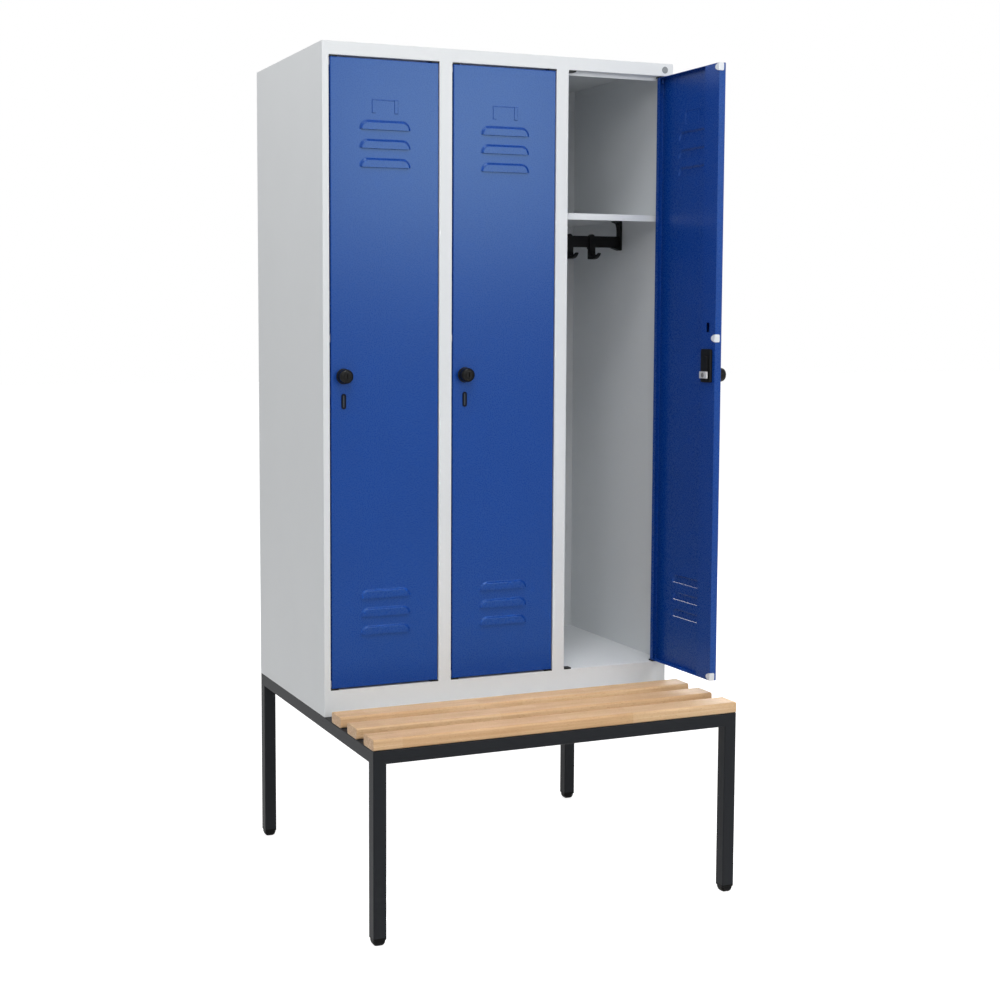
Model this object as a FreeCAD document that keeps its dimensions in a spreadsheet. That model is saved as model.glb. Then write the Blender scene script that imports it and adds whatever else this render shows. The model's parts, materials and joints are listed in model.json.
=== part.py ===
import FreeCAD, Part
import os
import Sketcher
from types import SimpleNamespace

# Locker with a bench: three tall compartments on a square-tube frame that reaches forward as a slatted seat.
# Millimetres. The origin is on the floor, in the middle of the width and of the whole depth.
# +X is to the right of someone facing the doors, +Y goes to the back and +Z goes up.

SIZES = {
    # Whole object
    "width": 900,
    "cabinet_depth": 500,
    "cabinet_height": 1525,
    "bench_reach": 315,
    "frame_top": 425,
    # Sheet-steel cabinet
    "sheet": 1,
    "bend_radius": 1.5,
    "outer_stile": 16,
    "middle_stile": 32,
    "stile_depth": 20,
    "stop_lip": 8,
    "stop_drop": 9,
    "top_rail": 30,
    "bottom_rail": 60,
    "top_flange": 20,
    "floor_return": 26,
    # Hat shelf, coat rail and hooks
    "shelf_drop": 362,
    "shelf_lip": 15,
    "shelf_setback": 30,
    "rail_setback": 245,
    "rail_drop": 55,
    "rail_height": 29,
    "rail_thickness": 6,
    "bracket_plate": 5,
    "bracket_flange": 25,
    "bracket_flange_thickness": 3,
    "bracket_width": 20,
    "bracket_tail": 7,
    "socket_depth": 3,
    "hook_pitch": 64,
    "hook_width": 17,
    "hook_wall": 4,
    "hook_play": 0.4,
    "hook_stem": 7,
    "hook_drop": 45,
    "hook_reach": 45,
    "hook_tip_height": 16,
    "hook_tip": 6,
    "hook_round": 5,
    # Doors
    "door_thickness": 18,
    "door_round": 2,
    "hinge_lip": 12,
    "hinge_gap": 2.5,
    "lock_gap": 3,
    "door_gap": 4,
    "pin_inset": 6,
    "pin_radius": 3,
    "pin_engagement": 12,
    "pin_play": 0.05,
    "bush_length": 20,
    "bush_thickness": 3.4,
    "bush_margin": 1,
    "open_angle": 91,
    "louvre_width": 124,
    "louvre_height": 20.5,
    "louvre_pitch": 42,
    "louvre_depth": 5,
    "louvre_slope": 12,
    "louvre_crown": 4,
    "upper_louvre_drop": 244,
    "lower_louvre_rise": 125,
    "card_width": 64,
    "card_height": 35,
    "card_drop": 107,
    "card_tab": 9,
    "card_rim": 1.5,
    "stiffener_width": 57,
    # Turn latch
    "lock_rise": 720,
    "lock_inset": 30,
    "rose_radius": 19,
    "rose_thickness": 3,
    "knob_radius": 17.5,
    "knob_length": 24,
    "knob_crown": 8,
    "keyway_width": 2.4,
    "keyway_height": 12,
    "keyway_depth": 3,
    "spindle_radius": 8,
    "tail_radius": 5,
    "turn_play": 0.4,
    "case_width": 40,
    "case_below": 17,
    "case_above": 60,
    "case_thickness": 6,
    "cam_width": 24,
    "cam_reach": 44,
    "cam_heel": 11,
    "cam_thickness": 2.5,
    "nut_width": 30,
    "nut_height": 16,
    "nut_thickness": 3.6,
    "slot_cover_width": 11,
    "slot_cover_height": 35,
    "slot_cover_drop": 57,
    "slot_cover_rim": 2,
    "slot_cover_proud": 1.5,
    "key_slot_width": 12,
    "key_slot_height": 22,
    "key_slot_rise": 110,
    # Door bumpers
    "bumper_width": 15,
    "bumper_height": 18,
    "bumper_thickness": 1.7,
    "bumper_wrap": 12,
    "bumper_edge": 1,
    "bumper_round": 6,
    "middle_bumper_rise": 85,
    # Bench frame
    "tube": 30,
    "tube_wall": 2,
    "tube_round": 2.5,
    "foot_height": 18,
    "foot_round": 8,
    "plug_length": 14,
    "plug_play": 0.2,
    # Seat slats and fasteners
    "slat_width": 60,
    "slat_thickness": 25,
    "slat_pitch": 102.5,
    "slat_round": 5,
    "screw_radius": 2.5,
    "screw_bite": 15,
    "screw_offset": 15,
    "screw_head_radius": 5,
    "screw_head": 3,
    "bolt_radius": 3,
    "bolt_head_radius": 6,
    "bolt_head": 4,
    "bolt_margin": 60,
    "hole_play": 0.2,
}

COMPARTMENTS = 3
LOUVRES = 3
HOOK_PLACES = {"left": -1, "middle": 0, "right": 1}
SLATS = ("front", "middle", "rear")
OPEN_DOOR = 3

doc = FreeCAD.newDocument("LockerWithBench")
sheet_of_sizes = doc.addObject("Spreadsheet::Sheet", "Sizes")
for row, (alias, number) in enumerate(SIZES.items(), start=1):
    sheet_of_sizes.set(f"A{row}", alias)
    sheet_of_sizes.set(f"B{row}", str(number))
    sheet_of_sizes.setAlias(f"B{row}", alias)
doc.recompute()


class Measure:
    """A size of the object: its formula on the sheet's cells, with its value."""

    def __init__(self, formula, value):
        self.formula = formula
        self.value = value

    def __add__(self, other):
        return Measure(f"({self.formula} + {formula_of(other)})", self.value + value_of(other))

    def __sub__(self, other):
        return Measure(f"({self.formula} - {formula_of(other)})", self.value - value_of(other))

    def __mul__(self, other):
        return Measure(f"({self.formula} * {formula_of(other)})", self.value * value_of(other))

    def __truediv__(self, other):
        return Measure(f"({self.formula} / {formula_of(other)})", self.value / value_of(other))

    def __radd__(self, other):
        return Measure(formula_of(other), other) + self

    def __rsub__(self, other):
        return Measure(formula_of(other), other) - self

    def __neg__(self):
        return 0 - self

    __rmul__ = __mul__


def formula_of(measure):
    return measure.formula if isinstance(measure, Measure) else str(measure)


def value_of(measure):
    return measure.value if isinstance(measure, Measure) else measure


s = SimpleNamespace(**{name: Measure(f"Sizes.{name}", number) for name, number in SIZES.items()})

# Lengths and places that follow from the sizes
half_width = s.width / 2
pitch = s.width / COMPARTMENTS
front = (s.bench_reach - s.cabinet_depth) / 2
back = (s.bench_reach + s.cabinet_depth) / 2
bench_front = -back
cabinet_top = s.frame_top + s.cabinet_height
sill = s.frame_top + s.bottom_rail
head = cabinet_top - s.top_rail
opening_height = head - sill
inner_depth = s.cabinet_depth - s.sheet
rail_length = s.width - 2 * s.tube
frame_low = s.frame_top - s.tube
shelf_top = cabinet_top - s.shelf_drop
rail_middle = shelf_top - s.rail_drop
rail_y = front + s.rail_setback
door_low = sill + s.door_gap
door_height = opening_height - 2 * s.door_gap
door_front = -s.pin_inset
door_skin_back = door_front + s.sheet
door_back = door_front + s.door_thickness
lock_z = sill + s.lock_rise
cam_plane = door_back + s.case_thickness + s.turn_play
pin_y = front + s.pin_inset


def left_stile(number):
    return s.outer_stile if number == 1 else s.middle_stile / 2


def right_stile(number):
    return s.outer_stile if number == COMPARTMENTS else s.middle_stile / 2


def opening_left(number):
    return (number - 1) * pitch - half_width + left_stile(number)


def opening_right(number):
    return number * pitch - half_width - right_stile(number)


def wall_left(number):
    """The face of the wall on the left of a compartment."""
    return (number - 1) * pitch - half_width + (s.sheet if number == 1 else s.sheet / 2)


def wall_right(number):
    """The face of the wall on the right of a compartment."""
    return number * pitch - half_width - (s.sheet if number == COMPARTMENTS else s.sheet / 2)


def pin_x(number):
    return opening_right(number) - s.hinge_gap - s.pin_inset


def door_width(number):
    return opening_right(number) - opening_left(number) - s.hinge_gap - s.lock_gap


def lock_edge(number):
    """The door's free edge, measured from its hinge pin."""
    return s.pin_inset - door_width(number)


def lock_x(number):
    return lock_edge(number) + s.lock_inset


pieces = []


def bind(thing, place, measure):
    thing.setExpression(place, formula_of(measure))


def put(thing, x=0, y=0, z=0, angle=None):
    """Place a piece, turned about its own upright axis where an angle is given."""
    if angle is not None:
        thing.Placement = FreeCAD.Placement(FreeCAD.Vector(), FreeCAD.Vector(0, 0, 1), value_of(angle))
        bind(thing, "Placement.Rotation.Angle", angle)
    bind(thing, "Placement.Base.x", x)
    bind(thing, "Placement.Base.y", y)
    bind(thing, "Placement.Base.z", z)
    return thing


def hang(thing, number):
    """Place a door's piece by its hinge pin; one door stands open."""
    put(thing, pin_x(number), pin_y, 0, s.open_angle if number == OPEN_DOOR else None)
    return thing


def name(thing, label):
    """Make a finished object one of the locker's pieces."""
    thing.Label = label
    pieces.append(thing)
    return thing


def new_body():
    return doc.addObject("PartDesign::Body", "Body")


def sketch_on(body, role, lift=0):
    """Start a sketch on one of the body's own planes, lifted along its normal."""
    sketch = body.newObject("Sketcher::SketchObject", "Sketch")
    plane = next(item for item in body.Origin.OriginFeatures if item.Role == role)
    sketch.AttachmentSupport = [(plane, "")]
    sketch.MapMode = "FlatFace"
    bind(sketch, "AttachmentOffset.Base.z", lift)
    return sketch


def hold(sketch, kind, line, end, measure):
    constraint = Sketcher.Constraint(kind, -1, 1, line, end, value_of(measure))
    number = sketch.addConstraint(constraint)
    bind(sketch, f"Constraints[{number}]", measure)


def outline(sketch, corners):
    """Draw a closed outline through corners given as pairs of measures."""
    first = sketch.GeometryCount
    spots = [FreeCAD.Vector(value_of(x), value_of(y), 0) for x, y in corners]
    for index, spot in enumerate(spots):
        sketch.addGeometry(Part.LineSegment(spot, spots[(index + 1) % len(spots)]))
    for index, (x, y) in enumerate(corners):
        follower = first + (index + 1) % len(corners)
        sketch.addConstraint(Sketcher.Constraint("Coincident", first + index, 2, follower, 1))
        hold(sketch, "DistanceX", first + index, 1, x)
        hold(sketch, "DistanceY", first + index, 1, y)


def block(sketch, low_x, high_x, low_y, high_y):
    outline(sketch, [(low_x, low_y), (high_x, low_y), (high_x, high_y), (low_x, high_y)])


def ring(sketch, x, y, radius):
    middle = FreeCAD.Vector(value_of(x), value_of(y), 0)
    number = sketch.addGeometry(Part.Circle(middle, FreeCAD.Vector(0, 0, 1), value_of(radius)))
    hold(sketch, "DistanceX", number, 3, x)
    hold(sketch, "DistanceY", number, 3, y)
    constraint = sketch.addConstraint(Sketcher.Constraint("Radius", number, value_of(radius)))
    bind(sketch, f"Constraints[{constraint}]", radius)


def pad(body, sketch, length, backwards=False, both_ways=False):
    feature = body.newObject("PartDesign::Pad", "Pad")
    feature.Profile = sketch
    bind(feature, "Length", length)
    feature.Reversed = backwards
    if both_ways:
        feature.SideType = "Symmetric"
    return feature


def pocket(body, sketch, length, backwards=False, both_ways=False):
    """Cut a sketch out of the body, and make sure that it took something away."""
    body.recompute(True)
    before = body.Shape.Volume
    feature = body.newObject("PartDesign::Pocket", "Pocket")
    feature.Profile = sketch
    bind(feature, "Length", length)
    feature.Reversed = backwards
    if both_ways:
        feature.SideType = "Symmetric"
    body.recompute(True)
    if not body.Shape.Volume < before:
        raise ValueError(f"a cut in {body.Name} took nothing away")
    return feature


def edges_along(shape, direction, spots):
    """Name the straight edges along a direction that pass through given spots.

    A spot gives two coordinates, those across the direction, in X, Y, Z order."""
    across = [axis for axis in range(3) if axis != direction]
    found = []
    for number, edge in enumerate(shape.Edges, start=1):
        ends = [vertex.Point for vertex in edge.Vertexes]
        if len(ends) != 2:
            continue
        straight = all(abs(ends[0][axis] - ends[1][axis]) < 1e-6 for axis in across)
        for spot in spots:
            near = all(abs(ends[0][axis] - value_of(want)) < 1e-4 for axis, want in zip(across, spot))
            if straight and near:
                found.append(f"Edge{number}")
    if len(found) < len(spots):
        raise ValueError("an edge to round is missing")
    return found


def round_edges(body, direction, spots, radius):
    """Round the body's edges along a direction at the given spots."""
    body.recompute(True)
    base = body.Tip
    feature = body.newObject("PartDesign::Fillet", "Fillet")
    feature.Base = (base, edges_along(base.Shape, direction, spots))
    bind(feature, "Radius", radius)
    return feature


X, Y, Z = 0, 1, 2


def box(length, depth, height, x=0, y=0, z=0):
    thing = doc.addObject("Part::Box", "Box")
    bind(thing, "Length", length)
    bind(thing, "Width", depth)
    bind(thing, "Height", height)
    return put(thing, x, y, z)


def upright_cylinder(radius, height, x=0, y=0, z=0):
    thing = doc.addObject("Part::Cylinder", "Cylinder")
    bind(thing, "Radius", radius)
    bind(thing, "Height", height)
    return put(thing, x, y, z)


def level_cylinder(radius, length, x=0, y=0, z=0):
    """A cylinder that runs from its place along +Y."""
    thing = doc.addObject("Part::Cylinder", "Cylinder")
    bind(thing, "Radius", radius)
    bind(thing, "Height", length)
    thing.Placement = FreeCAD.Placement(FreeCAD.Vector(), FreeCAD.Vector(1, 0, 0), -90)
    return put(thing, x, y, z)


def cut(base, tool):
    thing = doc.addObject("Part::Cut", "Cut")
    thing.Base = base
    thing.Tool = tool
    return thing


def fuse(things):
    thing = doc.addObject("Part::MultiFuse", "Fuse")
    thing.Shapes = things
    return thing


def group(things):
    """Several separate solids that share one piece's name."""
    thing = doc.addObject("Part::Compound", "Group")
    thing.Links = things
    return thing


def side_panel(label, hand):
    """A side wall whose front is folded into a stile with a stop lip; hand is 1 on the left."""
    body = new_body()
    profile = sketch_on(body, "XY_Plane")
    outline(profile, [
        (0, 0),
        (hand * s.outer_stile, 0),
        (hand * s.outer_stile, s.stile_depth),
        (hand * (s.outer_stile - s.sheet), s.stile_depth),
        (hand * (s.outer_stile - s.sheet), s.sheet),
        (hand * s.sheet, s.sheet),
        (hand * s.sheet, s.cabinet_depth),
        (0, s.cabinet_depth),
    ])
    pad(body, profile, s.cabinet_height)
    lip = sketch_on(body, "XY_Plane", s.bottom_rail)
    block(lip, hand * (s.outer_stile - s.sheet), hand * (s.outer_stile + s.stop_lip),
          s.stile_depth, s.stile_depth + s.sheet)
    pad(body, lip, opening_height)
    round_edges(body, Z, [(0, 0)], s.bend_radius)
    put(body, -hand * half_width, front, s.frame_top)
    name(body, label)


def partition(label, number):
    """The wall to the right of a compartment, with a boxed stile and stop lips at its front."""
    half = s.middle_stile / 2
    web = s.sheet / 2
    behind = s.stile_depth + s.sheet
    body = new_body()
    profile = sketch_on(body, "XY_Plane")
    right_half = [
        (half, 0),
        (half, s.stile_depth),
        (half + s.stop_lip, s.stile_depth),
        (half + s.stop_lip, behind),
        (half - s.sheet, behind),
        (half - s.sheet, s.sheet),
        (web, s.sheet),
        (web, inner_depth),
    ]
    outline(profile, right_half + [(-x, y) for x, y in reversed(right_half)])
    pad(body, profile, opening_height)
    upper_web = sketch_on(body, "XY_Plane", opening_height)
    block(upper_web, -web, web, s.stile_depth, inner_depth)
    pad(body, upper_web, s.top_rail - s.sheet)
    put(body, number * pitch - half_width, front, sill)
    name(body, label)


def front_rail(label, height, low, stops):
    """A channel across the front, with door stops hanging from the upper one."""
    start = s.outer_stile - half_width
    body = new_body()
    profile = sketch_on(body, "YZ_Plane")
    outline(profile, [
        (0, 0),
        (s.stile_depth, 0),
        (s.stile_depth, s.sheet),
        (s.sheet, s.sheet),
        (s.sheet, height - s.sheet),
        (s.stile_depth, height - s.sheet),
        (s.stile_depth, height),
        (0, height),
    ])
    pad(body, profile, s.width - 2 * s.outer_stile)
    if stops:
        lips = sketch_on(body, "XY_Plane", -s.stop_drop)
        for number in range(1, COMPARTMENTS + 1):
            block(lips, opening_left(number) + s.stop_lip - start, opening_right(number) - s.stop_lip - start,
                  s.stile_depth, s.stile_depth + s.sheet)
        pad(body, lips, s.stop_drop + s.sheet)
    put(body, start, front, low)
    name(body, label)


def bolt_spots():
    """The places of the bolts that hold the cabinet on the frame's side rails."""
    middle = half_width - s.tube / 2
    ends = (front + s.bolt_margin, back - s.bolt_margin)
    return [(side * middle, end) for side in (-1, 1) for end in ends]


def floor_panel():
    """The compartments' floor: a pan whose sides stand on the frame, turned in where it is bolted down."""
    high = s.bottom_rail
    far = s.width - s.sheet
    turn = s.sheet + s.floor_return
    body = new_body()
    profile = sketch_on(body, "XZ_Plane")
    outline(profile, [
        (s.sheet, 0),
        (turn, 0),
        (turn, s.sheet),
        (2 * s.sheet, s.sheet),
        (2 * s.sheet, high - s.sheet),
        (far - s.sheet, high - s.sheet),
        (far - s.sheet, s.sheet),
        (s.width - turn, s.sheet),
        (s.width - turn, 0),
        (far, 0),
        (far, high),
        (s.sheet, high),
    ])
    pad(body, profile, inner_depth - s.stile_depth, backwards=True)
    holes = sketch_on(body, "XY_Plane")
    for x, y in bolt_spots():
        ring(holes, x + half_width, y - front - s.stile_depth, s.bolt_radius + s.hole_play)
    pocket(body, holes, 4 * s.sheet, both_ways=True)
    put(body, -half_width, front + s.stile_depth, s.frame_top)
    name(body, "floor_panel")


def top_panel():
    """The cabinet's top, with a flange down each side wall."""
    far = s.width - s.sheet
    body = new_body()
    profile = sketch_on(body, "XZ_Plane")
    outline(profile, [
        (s.sheet, 0),
        (2 * s.sheet, 0),
        (2 * s.sheet, s.top_flange - s.sheet),
        (far - s.sheet, s.top_flange - s.sheet),
        (far - s.sheet, 0),
        (far, 0),
        (far, s.top_flange),
        (s.sheet, s.top_flange),
    ])
    pad(body, profile, inner_depth - s.stile_depth, backwards=True)
    put(body, -half_width, front + s.stile_depth, cabinet_top - s.top_flange)
    name(body, "top_panel")


def back_panel():
    panel = box(s.width - 2 * s.sheet, s.sheet, s.cabinet_height,
                s.sheet - half_width, back - s.sheet, s.frame_top)
    name(panel, "back_panel")


def hat_shelf(number):
    """A shelf with its edges folded down, set back from the door."""
    span = wall_right(number) - wall_left(number)
    deep = inner_depth - s.shelf_setback
    body = new_body()
    plate = sketch_on(body, "XY_Plane")
    block(plate, 0, span, 0, deep)
    pad(body, plate, s.shelf_lip)
    hollow = sketch_on(body, "XY_Plane")
    block(hollow, s.sheet, span - s.sheet, s.sheet, deep - s.sheet)
    pocket(body, hollow, s.shelf_lip - s.sheet, backwards=True)
    put(body, wall_left(number), front + s.shelf_setback, shelf_top - s.shelf_lip)
    name(body, f"hat_shelf_{number}")


def coat_rail(number):
    """A flat bar on edge that runs from one end bracket's socket to the other's."""
    inset = s.sheet + s.bracket_plate - s.socket_depth
    length = wall_right(number) - wall_left(number) - 2 * inset
    bar = box(length, s.rail_thickness, s.rail_height,
              wall_left(number) + inset, rail_y - s.rail_thickness / 2, rail_middle - s.rail_height / 2)
    name(bar, f"coat_rail_{number}")


def rail_bracket(wall, hand):
    """An end bracket under the shelf; hand is 1 at a left wall."""
    under_shelf = shelf_top - s.sheet - rail_middle
    tail = -(s.rail_height / 2 + s.bracket_tail)
    socket_floor = hand * (s.bracket_plate - s.socket_depth)
    body = new_body()
    profile = sketch_on(body, "XZ_Plane")
    outline(profile, [
        (0, tail),
        (hand * s.bracket_plate, tail),
        (hand * s.bracket_plate, under_shelf - s.bracket_flange_thickness),
        (hand * s.bracket_flange, under_shelf - s.bracket_flange_thickness),
        (hand * s.bracket_flange, under_shelf),
        (0, under_shelf),
    ])
    pad(body, profile, s.bracket_width, both_ways=True)
    socket = sketch_on(body, "XZ_Plane")
    block(socket, socket_floor, hand * s.bracket_plate, -s.rail_height / 2, s.rail_height / 2)
    pocket(body, socket, s.rail_thickness, both_ways=True)
    return put(body, wall + hand * s.sheet, rail_y, rail_middle)


def rail_brackets():
    brackets = []
    for number in range(1, COMPARTMENTS + 1):
        brackets.append(rail_bracket(wall_left(number), 1))
        brackets.append(rail_bracket(wall_right(number), -1))
    name(group(brackets), "rail_brackets")


def hook(number, place):
    """A coat hook: a sleeve that slides on the rail, and an arm that comes forward and turns up."""
    bore_y = s.rail_thickness / 2 + s.hook_play
    bore_z = s.rail_height / 2 + s.hook_play
    sleeve_y = bore_y + s.hook_wall
    sleeve_z = bore_z + s.hook_wall
    stem = s.hook_stem / 2
    arm_low = -s.hook_drop
    arm_top = arm_low + s.hook_stem
    tip = arm_low + s.hook_tip_height
    body = new_body()
    profile = sketch_on(body, "YZ_Plane")
    outline(profile, [
        (-sleeve_y, -sleeve_z),
        (-sleeve_y, sleeve_z),
        (sleeve_y, sleeve_z),
        (sleeve_y, -sleeve_z),
        (stem, -sleeve_z),
        (stem, arm_low),
        (-s.hook_reach, arm_low),
        (-s.hook_reach, tip),
        (s.hook_tip - s.hook_reach, tip),
        (s.hook_tip - s.hook_reach, arm_top),
        (-stem, arm_top),
        (-stem, -sleeve_z),
    ])
    block(profile, -bore_y, bore_y, -bore_z, bore_z)
    pad(body, profile, s.hook_width, both_ways=True)
    round_edges(body, X, [
        (stem, arm_low),
        (-s.hook_reach, arm_low),
        (s.hook_tip - s.hook_reach, arm_top),
        (-stem, arm_top),
    ], s.hook_round)
    round_edges(body, X, [(-sleeve_y, sleeve_z), (sleeve_y, sleeve_z)], s.hook_wall)
    middle = (wall_left(number) + wall_right(number)) / 2
    put(body, middle + HOOK_PLACES[place] * s.hook_pitch, rail_y, rail_middle)
    name(body, f"hook_{number}_{place}")


def hinge_bushes():
    """Plastic plates in all four corners of each opening; those on the hinge side hold the pins."""
    depth = s.stile_depth - 2 * s.bush_margin
    heights = (sill, head - s.bush_thickness)
    plates = []
    for number in range(1, COMPARTMENTS + 1):
        for z in heights:
            plates.append(box(s.bush_length, depth, s.bush_thickness,
                              opening_left(number), front + s.bush_margin, z))
            plate = box(s.bush_length, depth, s.bush_thickness,
                        opening_right(number) - s.bush_length, front + s.bush_margin, z)
            hole = upright_cylinder(s.pin_radius + s.pin_play, s.bush_thickness, pin_x(number), pin_y, z)
            plates.append(cut(plate, hole))
    name(group(plates), "hinge_bushes")


def hinge_pins():
    """Steel pins that stand on the sill and hang from the head, and reach into the doors."""
    length = s.door_gap + s.pin_engagement
    pins = []
    for number in range(1, COMPARTMENTS + 1):
        for z in (sill, head - length):
            pins.append(upright_cylinder(s.pin_radius, length, pin_x(number), pin_y, z))
    name(group(pins), "hinge_pins")


def louvre(body, kind, middle, low, shrink):
    """One pressed hood, or the space inside it, open at its lower edge."""
    feature = body.newObject(f"PartDesign::{kind}Wedge", "Louvre")
    plane = next(item for item in body.Origin.OriginFeatures if item.Role == "XY_Plane")
    feature.AttachmentSupport = [(plane, "")]
    feature.MapMode = "FlatFace"
    half = s.louvre_width / 2 - shrink
    bind(feature, "Xmin", -half)
    bind(feature, "Xmax", half)
    bind(feature, "X2min", s.louvre_slope - half)
    bind(feature, "X2max", half - s.louvre_slope)
    bind(feature, "Zmin", 0)
    bind(feature, "Zmax", s.louvre_height - shrink)
    bind(feature, "Z2min", 0)
    bind(feature, "Z2max", s.louvre_crown)
    bind(feature, "Ymin", 0)
    bind(feature, "Ymax", s.louvre_depth + s.sheet - shrink)
    feature.AttachmentOffset = FreeCAD.Placement(FreeCAD.Vector(), FreeCAD.Rotation(0, 0, 180))
    bind(feature, "AttachmentOffset.Base.x", middle)
    bind(feature, "AttachmentOffset.Base.y", door_skin_back)
    bind(feature, "AttachmentOffset.Base.z", low)
    return feature


def door_skin(number):
    """The door's sheet-steel pan, with louvres, a card holder and holes for the latch and pins."""
    low_x = lock_edge(number)
    high_x = s.pin_inset
    middle = (low_x + high_x) / 2
    door_top = door_low + door_height
    body = new_body()
    slab = sketch_on(body, "XY_Plane", door_low)
    block(slab, low_x, high_x, door_front, door_back)
    pad(body, slab, door_height)
    round_edges(body, Z, [(low_x, door_front), (high_x, door_front)], s.door_round)
    tray = sketch_on(body, "XZ_Plane", -door_back)
    block(tray, low_x + s.sheet, high_x - s.sheet, door_low + s.sheet, door_top - s.sheet)
    pocket(body, tray, s.door_thickness - s.sheet, backwards=True)
    lip = sketch_on(body, "XZ_Plane", -door_back)
    block(lip, high_x - s.hinge_lip, high_x - s.sheet, door_low + s.sheet, door_top - s.sheet)
    pad(body, lip, s.sheet)
    card = sketch_on(body, "XZ_Plane", -door_front)
    card_low = head - s.card_drop - s.card_height / 2
    for side in (-1, 1):
        outer = middle + side * s.card_width / 2
        block(card, outer, outer - side * s.card_tab, card_low, card_low + s.card_height)
    pad(body, card, s.card_rim)
    groups = (head - s.upper_louvre_drop, sill + s.lower_louvre_rise)
    for group_low in groups:
        for index in range(LOUVRES):
            low = group_low + index * s.louvre_pitch
            louvre(body, "Additive", middle, low, 0)
            louvre(body, "Subtractive", middle, low, s.sheet)
    holes = sketch_on(body, "XZ_Plane", -door_skin_back)
    ring(holes, lock_x(number), lock_z, s.spindle_radius + s.turn_play)
    cover_z = lock_z - s.slot_cover_drop
    half_cover = s.slot_cover_width / 2 - s.slot_cover_rim
    half_tall = s.slot_cover_height / 2 - s.slot_cover_rim
    cover_x = lock_x(number)
    block(holes, cover_x - half_cover, cover_x + half_cover, cover_z - half_tall, cover_z + half_tall)
    pocket(body, holes, s.sheet, backwards=True)
    for lift in (door_low, door_top - s.sheet):
        pin_hole = sketch_on(body, "XY_Plane", lift)
        ring(pin_hole, 0, 0, s.pin_radius + s.pin_play)
        pocket(body, pin_hole, s.sheet, backwards=True)
    name(hang(body, number), f"door_skin_{number}")


def door_stiffener(number):
    """A channel inside the door's lock side that carries the latch."""
    low_x = lock_edge(number) + s.sheet
    high_x = lock_edge(number) + s.stiffener_width
    web = door_back - s.sheet
    body = new_body()
    profile = sketch_on(body, "XY_Plane", door_low + s.sheet)
    outline(profile, [
        (low_x, door_skin_back),
        (low_x + s.sheet, door_skin_back),
        (low_x + s.sheet, web),
        (high_x - s.sheet, web),
        (high_x - s.sheet, door_skin_back),
        (high_x, door_skin_back),
        (high_x, door_back),
        (low_x, door_back),
    ])
    pad(body, profile, door_height - 2 * s.sheet)
    holes = sketch_on(body, "XZ_Plane", -door_back)
    ring(holes, lock_x(number), lock_z, s.spindle_radius + s.turn_play)
    slot_z = lock_z + s.key_slot_rise
    block(holes, lock_x(number) - s.key_slot_width / 2, lock_x(number) + s.key_slot_width / 2,
          slot_z - s.key_slot_height / 2, slot_z + s.key_slot_height / 2)
    pocket(body, holes, s.sheet, backwards=True)
    name(hang(body, number), f"door_stiffener_{number}")


def lock_housing(number):
    """The latch's fixed plastic: the case inside, the rose behind the knob and the slot cover below."""
    x = lock_x(number)
    bore = s.spindle_radius + s.turn_play
    case = cut(
        box(s.case_width, s.case_thickness, s.case_below + s.case_above,
            x - s.case_width / 2, door_back, lock_z - s.case_below),
        level_cylinder(bore, s.case_thickness, x, door_back, lock_z))
    rose_front = door_front - s.rose_thickness
    rose = cut(
        level_cylinder(s.rose_radius, s.rose_thickness, x, rose_front, lock_z),
        level_cylinder(bore, s.rose_thickness, x, rose_front, lock_z))
    cover_low = lock_z - s.slot_cover_drop - s.slot_cover_height / 2
    half_round = s.slot_cover_width / 2
    cover_plane = door_front - s.slot_cover_proud
    lid = fuse([
        box(s.slot_cover_width, s.slot_cover_proud, s.slot_cover_height - s.slot_cover_width,
            x - half_round, cover_plane, cover_low + half_round),
        level_cylinder(half_round, s.slot_cover_proud, x, cover_plane, cover_low + half_round),
        level_cylinder(half_round, s.slot_cover_proud, x, cover_plane,
                       cover_low + s.slot_cover_height - half_round),
    ])
    tongue_width = s.slot_cover_width - 2 * (s.slot_cover_rim + s.hole_play)
    tongue_height = s.slot_cover_height - 2 * (s.slot_cover_rim + s.hole_play)
    tongue = box(tongue_width, s.sheet, tongue_height,
                 x - tongue_width / 2, door_front, cover_low + s.slot_cover_rim + s.hole_play)
    name(hang(group([case, rose, fuse([lid, tongue])]), number), f"lock_housing_{number}")


def lock_knob(number):
    """The knob outside the door, its spindle stepped down for the cam, and a keyway in its face."""
    back_of_knob = door_front - s.rose_thickness - s.turn_play
    face = door_front - s.rose_thickness - s.knob_length
    tail_end = cam_plane + s.cam_thickness + s.nut_thickness
    flat = s.knob_radius - s.knob_crown
    body = new_body()
    profile = sketch_on(body, "XY_Plane")
    outline(profile, [
        (0, face),
        (flat, face),
        (s.knob_radius, face + s.knob_crown),
        (s.knob_radius, back_of_knob),
        (s.spindle_radius, back_of_knob),
        (s.spindle_radius, cam_plane),
        (s.tail_radius, cam_plane),
        (s.tail_radius, tail_end),
        (0, tail_end),
    ])
    feature = body.newObject("PartDesign::Revolution", "Revolution")
    feature.Profile = profile
    feature.ReferenceAxis = (profile, ["V_Axis"])
    feature.Angle = 360
    keyway = sketch_on(body, "XZ_Plane", -face)
    block(keyway, -s.keyway_width / 2, s.keyway_width / 2, -s.keyway_height / 2, s.keyway_height / 2)
    pocket(body, keyway, s.keyway_depth)
    # The knob is drawn about its own axis, so a group carries it to its place on the door.
    put(body, lock_x(number), 0, lock_z)
    name(hang(group([body]), number), f"lock_knob_{number}")


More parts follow.
